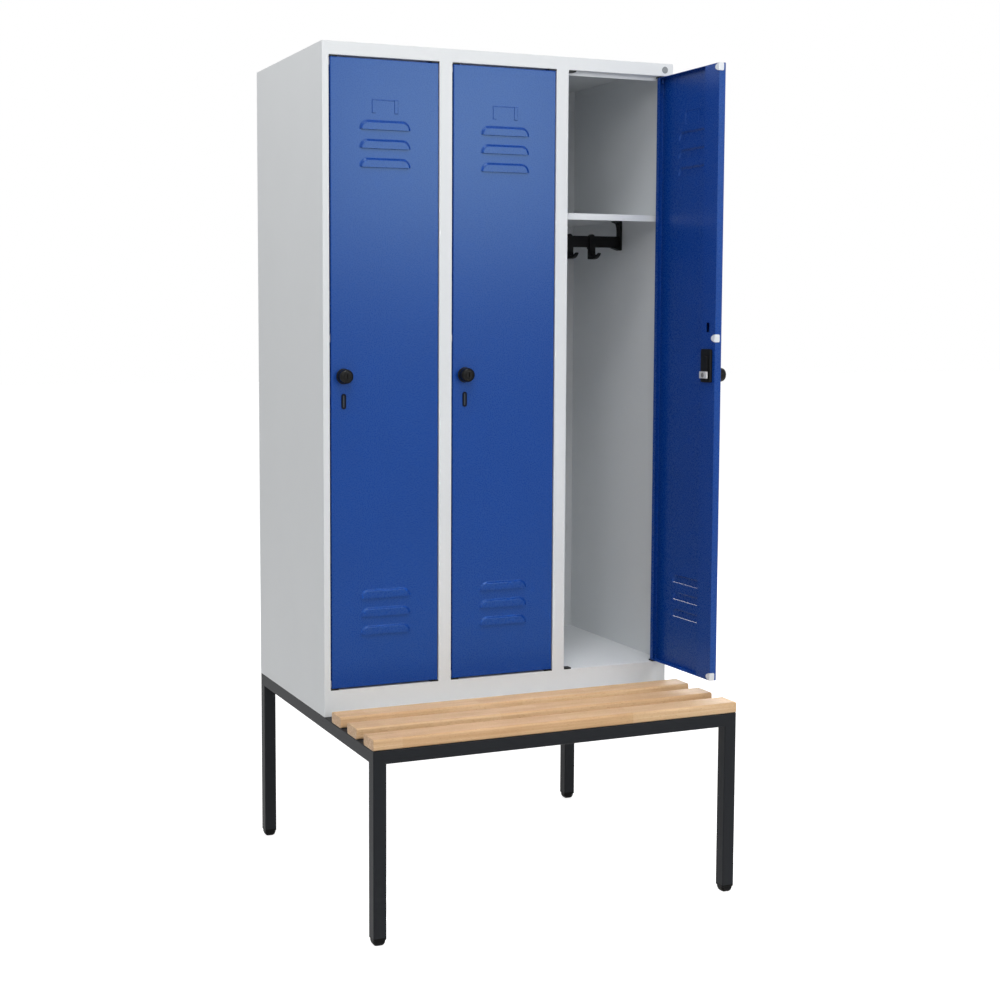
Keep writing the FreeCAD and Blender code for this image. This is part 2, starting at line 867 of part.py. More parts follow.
def lock_cam(number):
    """The cam arm that turns behind the stile, and the nut that holds it; the arm stands up when unlocked."""
    x = lock_x(number)
    bore = s.tail_radius + s.pin_play
    arm = cut(
        box(s.cam_width, s.cam_thickness, s.cam_reach + s.cam_heel,
            x - s.cam_width / 2, cam_plane, lock_z - s.cam_heel),
        level_cylinder(bore, s.cam_thickness, x, cam_plane, lock_z))
    nut_plane = cam_plane + s.cam_thickness
    nut_left = x - s.nut_width / 2
    nut = cut(
        box(s.nut_width, s.nut_thickness, s.nut_height, nut_left, nut_plane, lock_z - s.nut_height / 2),
        level_cylinder(bore, s.nut_thickness, x, nut_plane, lock_z))
    name(hang(group([arm, nut]), number), f"lock_cam_{number}")


def door_bumpers(number):
    """Plastic bumpers clipped round the free edge: at the top, the bottom and above the latch."""
    edge = lock_edge(number)
    outer = edge - s.bumper_edge
    inner = edge + s.bumper_width
    proud = door_back + s.bumper_thickness
    door_top = door_low + door_height
    bumpers = []
    for low in (door_low, lock_z + s.middle_bumper_rise - s.bumper_height / 2, door_top - s.bumper_height):
        body = new_body()
        profile = sketch_on(body, "XY_Plane", low)
        outline(profile, [
            (outer, door_back - s.bumper_wrap),
            (edge, door_back - s.bumper_wrap),
            (edge, door_back),
            (inner, door_back),
            (inner, proud),
            (outer, proud),
        ])
        pad(body, profile, s.bumper_height)
        round_edges(body, Y, [(inner, low), (inner, low + s.bumper_height)], s.bumper_round)
        bumpers.append(body)
    name(hang(group(bumpers), number), f"door_bumpers_{number}")


def tube_profile(body, role):
    """Start a square tube with its middle on the body's axis."""
    half = s.tube / 2
    inner = half - s.tube_wall
    profile = sketch_on(body, role)
    block(profile, -half, half, -half, half)
    block(profile, -inner, inner, -inner, inner)
    return profile


def tube_corners():
    half = s.tube / 2
    return [(x, y) for x in (-half, half) for y in (-half, half)]


def leg_places():
    side = half_width - s.tube / 2
    end = back - s.tube / 2
    return {"front_left": (-side, -end), "front_right": (side, -end),
            "rear_left": (-side, end), "rear_right": (side, end)}


def legs():
    for place, (x, y) in leg_places().items():
        body = new_body()
        pad(body, tube_profile(body, "XY_Plane"), s.frame_top - s.foot_height)
        round_edges(body, Z, tube_corners(), s.tube_round)
        name(put(body, x, y, s.foot_height), f"leg_{place}")


def foot_caps():
    """Plastic caps plugged into the legs, rounded where they meet the floor."""
    half = s.tube / 2
    plug = half - s.tube_wall - s.plug_play
    caps = []
    for x, y in leg_places().values():
        body = new_body()
        collar = sketch_on(body, "XY_Plane")
        block(collar, -half, half, -half, half)
        pad(body, collar, s.foot_height)
        round_edges(body, X, [(-half, 0), (half, 0)], s.foot_round)
        round_edges(body, Y, [(-half, 0), (half, 0)], s.foot_round)
        stem = sketch_on(body, "XY_Plane", s.foot_height)
        block(stem, -plug, plug, -plug, plug)
        pad(body, stem, s.plug_length)
        caps.append(put(body, x, y, 0))
    name(group(caps), "foot_caps")


def slat_middles():
    """The middle of each slat, counted back from the bench's front edge."""
    return [bench_front + s.slat_width / 2 + index * s.slat_pitch for index in range(len(SLATS))]


def screw_rows():
    """The slats' screws, set back from the middle of each slat so that the front ones clear the legs."""
    return [middle + s.screw_offset for middle in slat_middles()]


def side_rail(label, side):
    """A frame tube along one side, drilled for the slats' screws and the cabinet's bolts."""
    body = new_body()
    pad(body, tube_profile(body, "XZ_Plane"), 2 * (back - s.tube), both_ways=True)
    round_edges(body, Y, tube_corners(), s.tube_round)
    holes = sketch_on(body, "XY_Plane")
    for y in screw_rows():
        ring(holes, 0, y, s.screw_radius + s.hole_play)
    for x, y in bolt_spots():
        if value_of(x) * side > 0:
            ring(holes, 0, y, s.bolt_radius + s.hole_play)
    pocket(body, holes, 2 * s.tube, both_ways=True)
    name(put(body, side * (half_width - s.tube / 2), 0, frame_low + s.tube / 2), label)


def cross_rail(label, y):
    """A frame tube from one side to the other."""
    body = new_body()
    pad(body, tube_profile(body, "YZ_Plane"), rail_length, both_ways=True)
    round_edges(body, X, tube_corners(), s.tube_round)
    name(put(body, 0, y, frame_low + s.tube / 2), label)


def slats():
    """Beech slats across the bench, screwed down from below at both ends."""
    half = s.slat_width / 2
    for place, y in zip(SLATS, slat_middles()):
        body = new_body()
        section = sketch_on(body, "YZ_Plane")
        block(section, -half, half, 0, s.slat_thickness)
        pad(body, section, s.width, both_ways=True)
        corners = [(across, up) for across in (-half, half) for up in (0, s.slat_thickness)]
        round_edges(body, X, corners, s.slat_round)
        holes = sketch_on(body, "XY_Plane")
        for side in (-1, 1):
            ring(holes, side * (half_width - s.tube / 2), s.screw_offset, s.screw_radius + s.hole_play)
        pocket(body, holes, s.screw_bite, backwards=True)
        name(put(body, 0, y, s.frame_top), f"slat_{place}")


def fastener(radius, length, head_radius, head, nut):
    """A screw whose head's upper face is at its origin, with a nut on the end of a bolt."""
    body = new_body()
    profile = sketch_on(body, "XZ_Plane")
    corners = [(0, -head), (head_radius, -head), (head_radius, 0), (radius, 0), (radius, length)]
    if nut:
        corners += [(head_radius, length), (head_radius, length + head), (0, length + head)]
    else:
        corners += [(0, length)]
    outline(profile, corners)
    feature = body.newObject("PartDesign::Revolution", "Revolution")
    feature.Profile = profile
    feature.ReferenceAxis = (profile, ["V_Axis"])
    feature.Angle = 360
    return body


def slat_screws():
    screws = []
    for y in screw_rows():
        for side in (-1, 1):
            screw = fastener(s.screw_radius, s.tube + s.screw_bite - s.screw_head, s.screw_head_radius,
                             s.screw_head, False)
            screws.append(put(screw, side * (half_width - s.tube / 2), y, frame_low))
    name(group(screws), "slat_screws")


def cabinet_bolts():
    bolts = []
    for x, y in bolt_spots():
        bolt = fastener(s.bolt_radius, s.tube + s.sheet, s.bolt_head_radius, s.bolt_head, True)
        bolts.append(put(bolt, x, y, frame_low))
    name(group(bolts), "cabinet_bolts")


def cabinet():
    side_panel("left_side_panel", 1)
    side_panel("right_side_panel", -1)
    partition("left_partition", 1)
    partition("right_partition", 2)
    top_panel()
    floor_panel()
    back_panel()
    front_rail("top_rail", s.top_rail, head, True)
    front_rail("bottom_rail", s.bottom_rail, s.frame_top, False)
    for number in range(1, COMPARTMENTS + 1):
        hat_shelf(number)
        coat_rail(number)
        for place in HOOK_PLACES:
            hook(number, place)
    rail_brackets()
    hinge_bushes()
    hinge_pins()


def doors():
    for number in range(1, COMPARTMENTS + 1):
        door_skin(number)
        door_stiffener(number)
        door_bumpers(number)
        lock_housing(number)
        lock_knob(number)
        lock_cam(number)


def bench_frame():
    legs()
    foot_caps()
    side_rail("frame_rail_left", -1)
    side_rail("frame_rail_right", 1)
    cross_rail("frame_rail_front", bench_front + s.tube / 2)
    cross_rail("frame_rail_middle", front + s.tube / 2)
    cross_rail("frame_rail_rear", back - s.tube / 2)
    slats()
    slat_screws()
    cabinet_bolts()


cabinet()
doors()
bench_frame()
doc.recompute()

for item in doc.Objects:
    if "Invalid" in item.State or "Error" in item.State:
        raise ValueError(f"{item.Label} did not compute: {item.State}")
for piece in pieces:
    if piece.Shape.isNull() or not piece.Shape.isValid() or not piece.Shape.Solids:
        raise ValueError(f"{piece.Label} is not a sound solid")

os.makedirs("parts", exist_ok=True)
for piece in pieces:
    piece.Shape.exportStep(f"parts/{piece.Label}.step")
print(len(pieces), "pieces written")
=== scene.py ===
import json
import math

import bmesh
import bpy
from mathutils import Matrix, Vector


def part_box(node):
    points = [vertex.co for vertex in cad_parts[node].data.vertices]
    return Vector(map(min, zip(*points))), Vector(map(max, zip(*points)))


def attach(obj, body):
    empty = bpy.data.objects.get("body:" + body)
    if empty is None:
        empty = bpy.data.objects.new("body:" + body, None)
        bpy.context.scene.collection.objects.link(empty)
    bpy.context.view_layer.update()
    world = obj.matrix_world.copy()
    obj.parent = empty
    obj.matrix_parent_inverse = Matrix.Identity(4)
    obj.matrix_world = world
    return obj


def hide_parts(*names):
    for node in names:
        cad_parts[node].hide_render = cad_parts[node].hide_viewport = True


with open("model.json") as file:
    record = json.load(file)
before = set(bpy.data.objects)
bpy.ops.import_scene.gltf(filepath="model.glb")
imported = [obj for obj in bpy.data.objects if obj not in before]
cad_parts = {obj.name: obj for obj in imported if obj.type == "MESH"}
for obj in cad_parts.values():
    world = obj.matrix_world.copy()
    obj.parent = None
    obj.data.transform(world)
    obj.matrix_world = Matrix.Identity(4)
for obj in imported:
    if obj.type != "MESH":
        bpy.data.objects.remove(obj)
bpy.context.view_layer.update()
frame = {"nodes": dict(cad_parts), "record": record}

# Sizes in metres, in the cabinet's own frame: the floor is Z 0, the front is towards -Y.
MM = 0.001
SAME = 1e-6  # points closer than this are one point
NEAR = 0.1 * MM  # slack when an edge is picked by where it lies
EXACT = 0.01 * MM  # the same, where another edge is close by
NUMBERS = (1, 2, 3)  # the compartments with their doors and fittings, from left to right
RIGHT, BACK, UP, FORWARD = (1, 0, 0), (0, 1, 0), (0, 0, 1), (0, -1, 0)
X, Y, Z = 0, 1, 2

# The cabinet: its sheet, its front's openings and the compartments' walls.
FRONT = -92.5 * MM
SHEET = 1.0 * MM
SILL, HEAD = 485.0 * MM, 1920.0 * MM
SPANS = [(-434.0 * MM, -166.0 * MM), (-134.0 * MM, 134.0 * MM), (166.0 * MM, 434.0 * MM)]
BEND, BEND_RUN, BEND_CORNER = 1.6 * MM, 0.5 * MM, 4.0 * MM
WALLS = {1: (-448.0 * MM, -151.5 * MM), 2: (-148.5 * MM, 148.5 * MM), 3: (151.5 * MM, 448.0 * MM)}
DISC_PLACE = (427 * MM, FRONT, 1935 * MM)

# A door is drawn about its hinge pin: X runs to the hinge edge, Y to the back.
PIN_X, PIN_Y = {1: -174.5 * MM, 2: 125.5 * MM, 3: 425.5 * MM}, -86.5 * MM
OPEN_ANGLE = {1: 0.0, 2: 0.0, 3: math.radians(91)}
DOOR_LEFT, DOOR_RIGHT = -256.5 * MM, 6.0 * MM
DOOR_FRONT, DOOR_BACK = -6.0 * MM, 12.0 * MM
DOOR_LOW, DOOR_TOP = 489.0 * MM, 1916.0 * MM
DOOR_MIDDLE = (DOOR_LEFT + DOOR_RIGHT) / 2
DOOR_ROUND, HINGE_LIP = 2.0 * MM, 12.0 * MM
BUMPER_LOWS, BUMPER_TALL = (489 * MM, 1281 * MM, 1898 * MM), 18 * MM

# A louvre's hood: its size, its rolled wall, the flat rim round its crown and how far its lip hangs.
LOUVRE_HALF, LOUVRE_HEIGHT, LOUVRE_END = 62.0 * MM, 20.5 * MM, 17.0 * MM
LOUVRE_PROUD, LOUVRE_WALL, LOUVRE_RIM, LOUVRE_LIP = 4.0 * MM, 5.4 * MM, 0.6 * MM, 0.6 * MM
LOUVRE_LOWS = [(start + 42.0 * step) * MM for start in (610.0, 1676.0) for step in range(3)]
HOLE_GROWTH = 1.5 * MM

# The card holder: two strips and a bead.
CARD_LOW, CARD_TOP = 1796.0 * MM, 1827.0 * MM
CARD_HALF, CARD_TAB, CARD_PROUD = 32.0 * MM, 9.0 * MM, 1.5 * MM
CARD_WALL, CARD_STEEP = 1.2 * MM, 0.3 * MM
BEAD_LOW, BEAD_TOP, BEAD_WALL, BEAD_PROUD = CARD_TOP - 2.6 * MM, CARD_TOP - 0.4 * MM, 0.7 * MM, 0.5 * MM

# The latch, in the door's coordinates. Turned profiles give radius and height in millimetres.
LOCK_X, LOCK_Z = -226.5 * MM, 1205.0 * MM
CASE_HALF, CASE_LOW, CASE_TOP, CASE_DEEP = 20 * MM, 1188 * MM, 1265 * MM, 6 * MM
COVER_Z, COVER_HALF, COVER_TALL = 1148.0 * MM, 5.5 * MM, 17.5 * MM
COVER_PROUD, COVER_RIM, COVER_SUNK = 1.5 * MM, 3.8 * MM, 0.9 * MM
ROSE = [(0, 6), (17.4, 6), (17.8, 6.5), (17.8, 7.6), (17.4, 8.5), (16.4, 9), (0, 9)]
KNOB = [(7.2, 32.9), (7.5, 32.3), (8.0, 32.3), (8.3, 32.9), (10.0, 32.7), (12.2, 31.9), (14.0, 30.6),
        (15.4, 28.8), (16.1, 26.8), (16.4, 24.6), (16.4, 13.0), (16.1, 10.8), (15.1, 9.5), (0, 9.5)]
KNOB_FACE, KEYWAY = 32.9 * MM, (2.4 * MM, 11 * MM, 3 * MM)  # a slot's width, height and depth along Y
ARM_HALF, ARM_LOW, ARM_TOP = 12 * MM, 1194 * MM, 1249 * MM
ARM_FRONT, ARM_THICK = 18.4 * MM, 2.5 * MM
NUT_HALF, NUT_TALL, NUT_FRONT, NUT_BACK = 15 * MM, 8 * MM, 20.9 * MM, 24.5 * MM
SCREW = [(5.0, 26.0), (5.6, 25.6), (5.8, 24.9), (5.8, 24.3)]
SCREW_FACE, SCREW_SLOT = 26.0 * MM, (1.4 * MM, 7.6 * MM, -1.2 * MM)

# The coat rail with its hooks and end brackets. Their side views are in millimetres, with a radius per corner.
RAIL_Y = 152.5 * MM
HOOK_STEP = {"left": -64.0 * MM, "middle": 0.0, "right": 64.0 * MM}
HOOK_HALF = 8.5 * MM
HOOK_SIDE = [(159.9, 1514.2), (159.9, 1551.9), (145.1, 1551.9), (145.1, 1504), (136, 1496), (124, 1496.2),
             (111, 1503.4), (106.4, 1501.6), (109.5, 1496.4), (121.5, 1489.8), (138, 1488.0), (156, 1488.0),
             (156, 1514.2)]
HOOK_ROUNDING = [1.5, 3, 3, 9, 5, 5, 2.0, 2.0, 6, 8, 8, 5, 0]
SLEEVE_FRONT, ARM_REACH, ARM_THINNING = 145 * MM, 30 * MM, 0.62
SLEEVE_SHARP, DOME_LOW, DOME_RADIUS, DOME_DEPTH = 1545 * MM, 1542 * MM, 8.6 * MM, 0.9
BRACKET_HALF = 10 * MM
BRACKET_SIDE = [(0, 1587), (21, 1587), (20, 1584.5), (9, 1580.5), (5.2, 1571), (5.2, 1548), (5.2, 1518.4),
                (25, 1518.4), (5, 1511.9), (0, 1511.5)]
BRACKET_ROUNDING = [0, 0.8, 0.8, 8, 12, 0, 0, 0.8, 4, 4]

# The frame's feet, and how far its rails run over the legs' rounded edges.
FOOT_X, FOOT_Y = 435 * MM, 392.5 * MM
COLLAR_HALF, COLLAR_LOW, COLLAR_TOP = 15 * MM, 13 * MM, 17.9 * MM
PAD_HALF, PAD_FLAT, PAD_STEPS = 14.4 * MM, 7.4 * MM, 7
WELD_REACH = 2.5 * MM


def linear(code):
    """The linear colour of an sRGB hex value."""
    channels = [int(code[i:i + 2], 16) / 255 for i in (1, 3, 5)]
    return [c / 12.92 if c <= 0.04045 else ((c + 0.055) / 1.055) ** 2.4 for c in channels] + [1.0]


def add(tree, kind, inputs=None, **settings):
    """A node with its settings, and its sockets set or linked."""
    node = tree.nodes.new(kind)
    for name, value in settings.items():
        setattr(node, name, value)
    for socket, value in (inputs or {}).items():
        if isinstance(value, bpy.types.NodeSocket):
            tree.links.new(value, node.inputs[socket])
        else:
            node.inputs[socket].default_value = value
    return node


def new_material(name):
    """An empty material, its node tree and its object coordinates."""
    material = bpy.data.materials.new(name)
    material.use_nodes = True
    tree = material.node_tree
    tree.nodes.clear()
    return material, tree, add(tree, "ShaderNodeTexCoord").outputs["Object"]


def noise(tree, place, scale, detail, **inputs):
    """Noise from 0 to 1; the scale is one number, or one per axis where it is drawn out."""
    if isinstance(scale, tuple):
        place = add(tree, "ShaderNodeMapping", {"Vector": place, "Scale": scale}).outputs["Vector"]
        scale = 1.0
    node = add(tree, "ShaderNodeTexNoise", {"Vector": place, "Scale": scale, "Detail": detail, **inputs})
    return node.outputs["Fac"]


def mixed(tree, factor, first, second, way="MIX"):
    """A mix of two colours."""
    node = add(tree, "ShaderNodeMix", {"Factor": factor, 6: first, 7: second}, data_type="RGBA", blend_type=way)
    return node.outputs[2]


def ranged(tree, value, low, high, start=0.0, end=1.0):
    """A value brought from the range between start and end to the one between low and high."""
    node = add(tree, "ShaderNodeMapRange", {"Value": value, "From Min": start, "From Max": end,
                                            "To Min": low, "To Max": high})
    return node.outputs["Result"]


def toned(tree, value, low, low_colour, high, high_colour):
    """A colour that runs from one to another as a value rises."""
    node = add(tree, "ShaderNodeValToRGB", {"Fac": value})
    first, second = node.color_ramp.elements
    first.position, first.color = low, linear(low_colour)
    second.position, second.color = high, linear(high_colour)
    return node.outputs["Color"]


def bumped(tree, height, strength, distance, **inputs):
    """A normal tilted by a height."""
    node = add(tree, "ShaderNodeBump", {"Height": height, "Strength": strength, "Distance": distance, **inputs})
    return node.outputs["Normal"]


def surfaced(tree, colour, roughness, inputs):
    """The surface shader and the tree's output."""
    shader = add(tree, "ShaderNodeBsdfPrincipled", {"Base Color": colour, "Roughness": roughness, **inputs})
    add(tree, "ShaderNodeOutputMaterial", {"Surface": shader.outputs["BSDF"]})


def powder_coat(name, colour, shade, roughness, specular, sheen="#FFFFFF"):
    """Polyester powder baked on sheet steel: an even satin skin with a fine orange peel.

    The eye gets soft, slightly rippled highlights and hardly any change of colour."""
    material, tree, place = new_material(name)
    # Cloudiness of the coat over about 180 mm, where the film is thicker or thinner.
    tint = mixed(tree, noise(tree, place, 1 / 0.18, 2.0), linear(shade), linear(colour))
    # Orange peel is about 1 mm across; it is drawn at 2.5 mm so that it shows.
    peel = noise(tree, place, 1 / 0.0025, 1.0)
    gloss = ranged(tree, peel, roughness - 0.03, roughness + 0.03, 0.3, 0.7)
    # Rolled sheet is flat to about 0.1 mm over 200 mm, which bends long reflections a little.
    ripple = bumped(tree, noise(tree, place, 1 / 0.2, 0.0), 0.25, 0.0006)
    surfaced(tree, tint, gloss, {"Normal": bumped(tree, peel, 0.07, 0.0001, Normal=ripple), "IOR": 1.5,
                                 "Specular IOR Level": specular, "Specular Tint": linear(sheen)})
    return material


def moulded_plastic(name, colour, shade, roughness, specular):
    """Injection-moulded plastic with a fine spark-eroded grain, which breaks the highlight up."""
    material, tree, place = new_material(name)
    # The grain is about 0.2 mm; it is drawn at 0.8 mm so that it shows close to.
    grain = noise(tree, place, 1 / 0.0008, 2.0)
    tint = mixed(tree, grain, linear(shade), linear(colour))
    gloss = ranged(tree, grain, roughness - 0.06, roughness + 0.06, 0.3, 0.7)
    surfaced(tree, tint, gloss, {"Normal": bumped(tree, grain, 0.15, 0.00005), "IOR": 1.5,
                                 "Specular IOR Level": specular})
    return material


def worked_steel(name, shade, colour, roughness, metallic):
    """Turned, cast or stamped metal with a zinc coat and faint tool marks."""
    material, tree, place = new_material(name)
    # The marks are drawn out across Z: about 3 mm long and 0.3 mm apart.
    marks = noise(tree, place, (300.0, 300.0, 3000.0), 3.0)
    tint = mixed(tree, marks, linear(shade), linear(colour))
    surfaced(tree, tint, ranged(tree, marks, roughness - 0.1, roughness + 0.1), {"Metallic": metallic})
    return material


def lacquered_beech(name, end_grain):
    """Planed beech under a clear satin lacquer: pale pinkish wood, joined from short staves.

    The eye gets straight faint growth bands along the slat, small dark ray flecks and a change of
    tint from stave to stave. Cut ends are darker, with the bands seen as close lines."""
    material, tree, place = new_material(name)
    # Staves about 280 mm long and 31 mm wide, each from another board.
    staves = add(tree, "ShaderNodeTexBrick", {
        "Vector": place, "Color1": linear("#E6CCA8"), "Color2": linear("#DBBB94"), "Scale": 1.0,
        "Mortar Size": 0.0, "Bias": 0.0, "Brick Width": 0.28, "Row Height": 0.031}, offset=0.37)
    # Growth bands 3 to 4 mm apart, running nearly straight along X for about 300 mm.
    bands = noise(tree, place, (3.0, 280.0, 280.0), 3.0, Roughness=0.55, Distortion=0.4)
    band_tone = toned(tree, bands, 0.35, "#C9A98C" if end_grain else "#ECDDD0", 0.68, "#FFFFFF")
    grained = mixed(tree, 0.75, staves.outputs["Color"], band_tone, "MULTIPLY")
    # Ray flecks are 2 mm long and 0.3 mm wide; they are drawn at 7 by 0.9 mm so that they show.
    fleck = noise(tree, place, (140.0, 1100.0, 1100.0), 0.0)
    flecked = mixed(tree, ranged(tree, fleck, 0.0, 0.4, 0.66, 0.76), grained, linear("#A87850"))
    # Slow yellowing and paling of the wood over a few hundred millimetres.
    cloud_tone = toned(tree, noise(tree, place, (7.0, 40.0, 40.0), 1.0), 0.3, "#F3EBDF", 0.7, "#FFFAF5")
    colour = mixed(tree, 0.9 if end_grain else 1.0, flecked, cloud_tone, "MULTIPLY")
    surfaced(tree, colour, ranged(tree, bands, 0.4, 0.54), {
        "Normal": bumped(tree, bands, 0.12, 0.0003), "IOR": 1.5, "Specular IOR Level": 0.25,
        "Coat Weight": 0.08, "Coat Roughness": 0.25})
    return material


grey_coat = powder_coat("light grey powder coat", "#E0E3E5", "#DCDFE1", 0.42, 0.26)
blue_coat = powder_coat("gentian blue powder coat", "#0C3E92", "#0B3A8B", 0.28, 0.36, "#CDF4FF")
tube_coat = powder_coat("black grey powder coat", "#202226", "#1D1F22", 0.5, 0.12)
black_nylon = moulded_plastic("black moulded nylon", "#111213", "#0D0E0F", 0.45, 0.2)
knob_plastic = moulded_plastic("black glass-filled nylon", "#0E0E0D", "#0A0A0A", 0.34, 0.15)
white_nylon = moulded_plastic("white moulded nylon", "#E6EAEE", "#DEE3E8", 0.35, 0.4)
disc_plastic = moulded_plastic("grey moulded nylon", "#8A8F92", "#7F8487", 0.4, 0.3)
foot_plastic = moulded_plastic("black moulded polyethylene", "#0C0C0C", "#090909", 0.5, 0.08)
cover_plastic = moulded_plastic("blue black moulded nylon", "#0B101E", "#080C17", 0.5, 0.08)
bright_steel = worked_steel("bright zinc-plated steel", "#A9AAA8", "#D4D3CE", 0.32, 1.0)
zinc_casting = worked_steel("pale passivated zinc casting", "#C6C7C8", "#DCDCDB", 0.5, 0.35)
screw_steel = worked_steel("zinc-plated screw steel", "#6E6D6C", "#8F8E8B", 0.65, 0.3)
dull_steel = worked_steel("dull zinc-plated steel", "#1D2733", "#2A3542", 0.5, 0.3)
beech = lacquered_beech("clear lacquered beech", False)
beech_end = lacquered_beech("clear lacquered beech end grain", True)


def give(bm, name, materials, body, nodes=(), smooth=40, thickness=None):
    """Turn a bmesh into a finished piece that rides on a body and stands for CAD nodes."""
    mesh = bpy.data.meshes.new(name)
    bm.to_mesh(mesh)
    bm.free()
    for item in materials:
        mesh.materials.append(item)
    piece = bpy.data.objects.new(name, mesh)
    bpy.context.scene.collection.objects.link(piece)
    if thickness:
        wall = piece.modifiers.new("sheet thickness", "SOLIDIFY")
        wall.thickness = thickness
        wall.offset = -1.0
        wall.use_even_offset = True
        seen = piece.evaluated_get(bpy.context.evaluated_depsgraph_get())
        piece.data = bpy.data.meshes.new_from_object(seen)
        piece.modifiers.clear()
    piece.data.shade_smooth()
    piece.data.set_sharp_from_angle(angle=math.radians(smooth))
    # Large flat faces keep their own direction beside the narrow faces of a rounded edge.
    flat = piece.modifiers.new("flat faces stay flat", "WEIGHTED_NORMAL")
    flat.keep_sharp = True
    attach(piece, body)
    if nodes:
        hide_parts(*nodes)
    return piece


def hung(number):
    """Where a door's own coordinates lie in the cabinet."""
    return Matrix.Translation((PIN_X[number], PIN_Y, 0)) @ Matrix.Rotation(OPEN_ANGLE[number], 4, "Z")


def hang(bm, number):
    """Move a bmesh from a door's own coordinates to where the door is."""
    bmesh.ops.transform(bm, matrix=hung(number), verts=bm.verts)


def about(x=0.0, y=0.0, z=0.0):
    """The space that a shape is scaled in, about a point."""
    return Matrix.Translation((-x, -y, -z))


def new_verts(made):
    """The vertices among what an operator made."""
    return [item for item in made["geom"] if isinstance(item, bmesh.types.BMVert)]


def drawn_on(bm, edges):
    """Extrude a row of edges; the new vertices, and the new row through them."""
    made = bmesh.ops.extrude_edge_only(bm, edges=edges)
    verts = new_verts(made)
    new_edges = [item for item in made["geom"] if isinstance(item, bmesh.types.BMEdge)]
    return verts, [e for e in new_edges if e.verts[0] in verts and e.verts[1] in verts]


def from_cad(node):
    """A bmesh of a CAD node with its vertices joined."""
    bm = bmesh.new()
    bm.from_mesh(frame["nodes"][node].data)
    bmesh.ops.remove_doubles(bm, verts=bm.verts, dist=SAME)
    return bm


def block(bm, low, high):
    """A box between two corners; its vertices."""
    made = bmesh.ops.create_cube(bm, size=1.0)["verts"]
    size = [b - a for a, b in zip(low, high)]
    bmesh.ops.scale(bm, vec=size, verts=made)
    bmesh.ops.translate(bm, vec=[(a + b) / 2 for a, b in zip(low, high)], verts=made)
    return made


def edges_of(verts):
    """The edges at some vertices, each once."""
    return list(dict.fromkeys(edge for vert in verts for edge in vert.link_edges))


def faces_of(verts):
    """The faces at some vertices, each once."""
    return list(dict.fromkeys(face for vert in verts for face in vert.link_faces))


def along_axis(edges, axis):
    """The edges that run along one axis."""
    return [e for e in edges if abs((e.verts[1].co - e.verts[0].co).normalized()[axis]) > 0.99]


def past(edges, axis, limit, way=1):
    """The edges that lie wholly past a limit on an axis, upwards or, with way -1, downwards."""
    return [e for e in edges if all(way * v.co[axis] > way * limit for v in e.verts)]


def sharp_edges(verts, angle=50):
    """The edges of a shape whose faces meet at more than an angle."""
    return [e for e in edges_of(verts) if len(e.link_faces) == 2 and e.calc_face_angle() > math.radians(angle)]


def soften(bm, edges, radius, segments=3):
    """Round some edges."""
    bmesh.ops.bevel(bm, geom=edges, offset=radius, offset_type="OFFSET", segments=segments, profile=0.5,
                    affect="EDGES", material=-1, clamp_overlap=True)


def cut(bm, place, normal):
    """Cut all faces along a plane, with nothing taken away."""
    bmesh.ops.bisect_plane(bm, geom=bm.verts[:] + bm.edges[:] + bm.faces[:], dist=SAME, plane_co=place,
                           plane_no=normal)


def upright(left, right, low, top, y):
    """The corners of a rectangle that stands across Y."""
    return [(left, y, low), (right, y, low), (right, y, top), (left, y, top)]


def level(x, y, half, z):
    """The corners of a square that lies at a height."""
    return [(x - half, y - half, z), (x + half, y - half, z), (x + half, y + half, z), (x - half, y + half, z)]


def loop_of(bm, points):
    """A closed loop of edges through a few points; its vertices and edges."""
    verts = [bm.verts.new(p) for p in points]
    return verts, [bm.edges.new((a, b)) for a, b in zip(verts, verts[1:] + verts[:1])]


def turned(bm, profile, centre, axis, steps):
    """A shape turned about an axis; its vertices. The profile gives radius and height in millimetres."""
    before = set(bm.verts)
    verts = [bm.verts.new((radius * MM, 0, height * MM)) for radius, height in profile]
    edges = [bm.edges.new(pair) for pair in zip(verts, verts[1:])]
    bmesh.ops.spin(bm, geom=verts + edges, cent=(0, 0, 0), axis=UP, angle=2 * math.pi, steps=steps, use_merge=True)
    bmesh.ops.remove_doubles(bm, verts=[v for v in bm.verts if v not in before], dist=SAME)
    shape = [v for v in bm.verts if v not in before]
    bmesh.ops.recalc_face_normals(bm, faces=faces_of(shape))
    turn = Vector(UP).rotation_difference(Vector(axis)).to_matrix().to_4x4()
    bmesh.ops.transform(bm, matrix=Matrix.Translation(centre) @ turn, verts=shape)
    return shape


def outlined(bm, points, rounding, along, width):
    """A flat outline with a radius in millimetres per corner, drawn out along an axis; its vertices."""
    before = set(bm.verts)
    verts, _ = loop_of(bm, points)
    for radius in sorted(set(rounding) - {0}, reverse=True):
        corners = [v for v, r in zip(verts, rounding) if r == radius]
        bmesh.ops.bevel(bm, geom=corners, offset=radius * MM, offset_type="OFFSET", segments=6, profile=0.5,
                        affect="VERTICES", material=-1, clamp_overlap=True)
    loop = [v for v in bm.verts if v not in before]
    face = bmesh.ops.contextual_create(bm, geom=loop + edges_of(loop))["faces"][0]
    made = bmesh.ops.extrude_face_region(bm, geom=[face])
    bmesh.ops.translate(bm, vec=Vector(along) * width, verts=new_verts(made))
    shape = [v for v in bm.verts if v not in before]
    bmesh.ops.recalc_face_normals(bm, faces=faces_of(shape))
    return shape


